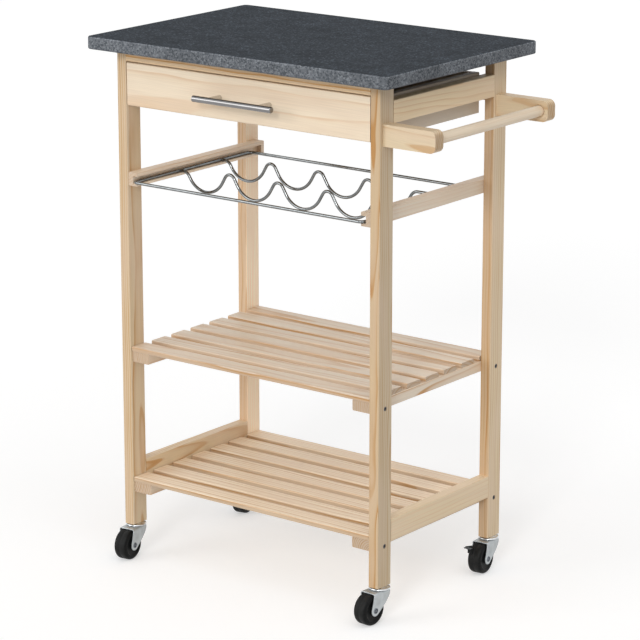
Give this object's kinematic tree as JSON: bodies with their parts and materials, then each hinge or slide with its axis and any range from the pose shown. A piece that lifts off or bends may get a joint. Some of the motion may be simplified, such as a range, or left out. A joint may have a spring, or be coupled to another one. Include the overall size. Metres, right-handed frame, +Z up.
{
  "type": "kitchen island cart",
  "caption": "Pine kitchen cart with a stone worktop, drawer, wire bottle rack, slatted shelves, side towel rail and swivel casters, the back ones with brakes.",
  "frame": {"origin": "on the floor, below the middle of the cart's bounding box", "axes": "+X along the front to the right, towards the towel rail; +Y to the back; +Z up"},
  "size_m": [0.635, 0.394, 0.85],
  "materials": {
    "granite": "satin",
    "pine": "satin",
    "turned_wood": "satin",
    "plywood": "matte",
    "stainless_steel": "satin",
    "chrome": "polished",
    "zinc_plated_steel": "satin",
    "black_rubber": "matte"
  },
  "bodies": {
    "cart_frame": {"back_left_leg": "pine", "back_left_race": "chrome", "back_rail": "pine", "back_right_leg": "pine", "back_right_race": "chrome", "back_towel_arm": "pine", "frame_screws": "stainless_steel", "front_left_leg": "pine", "front_left_race": "chrome", "front_right_leg": "pine", "front_right_race": "chrome", "front_top_rail": "pine", "front_towel_arm": "pine", "joint_dowels": "turned_wood", "left_drawer_runner": "pine", "left_end_rail": "pine", "left_low_cleat": "pine", "left_mid_cleat": "pine", "left_rack_rail": "pine", "left_upper_side_rail": "pine", "low_shelf_slats": "pine", "mid_shelf_slats": "pine", "right_drawer_runner": "pine", "right_end_rail": "pine", "right_low_cleat": "pine", "right_mid_cleat": "pine", "right_rack_rail": "pine", "right_upper_side_rail": "pine", "towel_dowel": "turned_wood", "worktop": "granite"},
    "drawer": {"drawer_back": "pine", "drawer_bottom": "plywood", "drawer_front": "pine", "drawer_left_side": "pine", "drawer_right_side": "pine", "pull_bar": "stainless_steel", "pull_posts": "stainless_steel", "pull_screws": "stainless_steel"},
    "bottle_rack": {"back_wave_wire": "chrome", "front_wave_wire": "chrome", "rack_back_wire": "chrome", "rack_front_wire": "chrome", "rack_left_wire": "chrome", "rack_right_wire": "chrome"},
    "front_left_caster": {"front_left_fork": "zinc_plated_steel", "front_left_axle": "zinc_plated_steel"},
    "front_left_wheel": {"front_left_wheel": "black_rubber"},
    "front_right_caster": {"front_right_fork": "zinc_plated_steel", "front_right_axle": "zinc_plated_steel"},
    "front_right_wheel": {"front_right_wheel": "black_rubber"},
    "back_left_caster": {"back_left_fork": "zinc_plated_steel", "back_left_axle": "zinc_plated_steel"},
    "back_left_wheel": {"back_left_wheel": "black_rubber"},
    "back_left_brake": {"back_left_brake_lever": "zinc_plated_steel", "back_left_brake_pad": "black_rubber"},
    "back_right_caster": {"back_right_fork": "zinc_plated_steel", "back_right_axle": "zinc_plated_steel"},
    "back_right_wheel": {"back_right_wheel": "black_rubber"},
    "back_right_brake": {"back_right_brake_lever": "zinc_plated_steel", "back_right_brake_pad": "black_rubber"}
  },
  "joints": [
    {"name": "drawer_slide", "type": "slide", "parent": "cart_frame", "child": "drawer", "axis": [0, -1, 0], "range_m": [0, 0.2]},
    {"name": "rack_slide", "type": "slide", "parent": "cart_frame", "child": "bottle_rack", "axis": [0, -1, 0], "range_m": [0, 0.2]},
    {"name": "front_left_swivel", "type": "hinge", "parent": "cart_frame", "child": "front_left_caster", "pos_m": [-0.274, -0.1455, 0.0514], "axis": [0, 0, 1], "continuous": true},
    {"name": "front_left_roll", "type": "hinge", "parent": "front_left_caster", "child": "front_left_wheel", "pos_m": [-0.27119, -0.17014, 0.0245], "axis": [0.9936, 0.1132, 0], "continuous": true},
    {"name": "front_right_swivel", "type": "hinge", "parent": "cart_frame", "child": "front_right_caster", "pos_m": [0.215, -0.1455, 0.0514], "axis": [0, 0, 1], "continuous": true},
    {"name": "front_right_roll", "type": "hinge", "parent": "front_right_caster", "child": "front_right_wheel", "pos_m": [0.21327, -0.17024, 0.0245], "axis": [0.9976, -0.0698, 0], "continuous": true},
    {"name": "back_left_swivel", "type": "hinge", "parent": "cart_frame", "child": "back_left_caster", "pos_m": [-0.274, 0.1475, 0.0514], "axis": [0, 0, 1], "continuous": true},
    {"name": "back_left_roll", "type": "hinge", "parent": "back_left_caster", "child": "back_left_wheel", "pos_m": [-0.26884, 0.12324, 0.0245], "axis": [0.9781, 0.2079, 0], "continuous": true},
    {"name": "back_left_brake_press", "type": "hinge", "parent": "back_left_caster", "child": "back_left_brake", "pos_m": [-0.2688, 0.12305, 0.0365], "axis": [0.9781, 0.2079, 0], "range_deg": [0, 8]},
    {"name": "back_right_swivel", "type": "hinge", "parent": "cart_frame", "child": "back_right_caster", "pos_m": [0.215, 0.1475, 0.0514], "axis": [0, 0, 1], "continuous": true},
    {"name": "back_right_roll", "type": "hinge", "parent": "back_right_caster", "child": "back_right_wheel", "pos_m": [0.21716, 0.12279, 0.0245], "axis": [0.9962, 0.0872, 0], "continuous": true},
    {"name": "back_right_brake_press", "type": "hinge", "parent": "back_right_caster", "child": "back_right_brake", "pos_m": [0.21718, 0.12259, 0.0365], "axis": [0.9962, 0.0872, 0], "range_deg": [0, 8]}
  ]
}
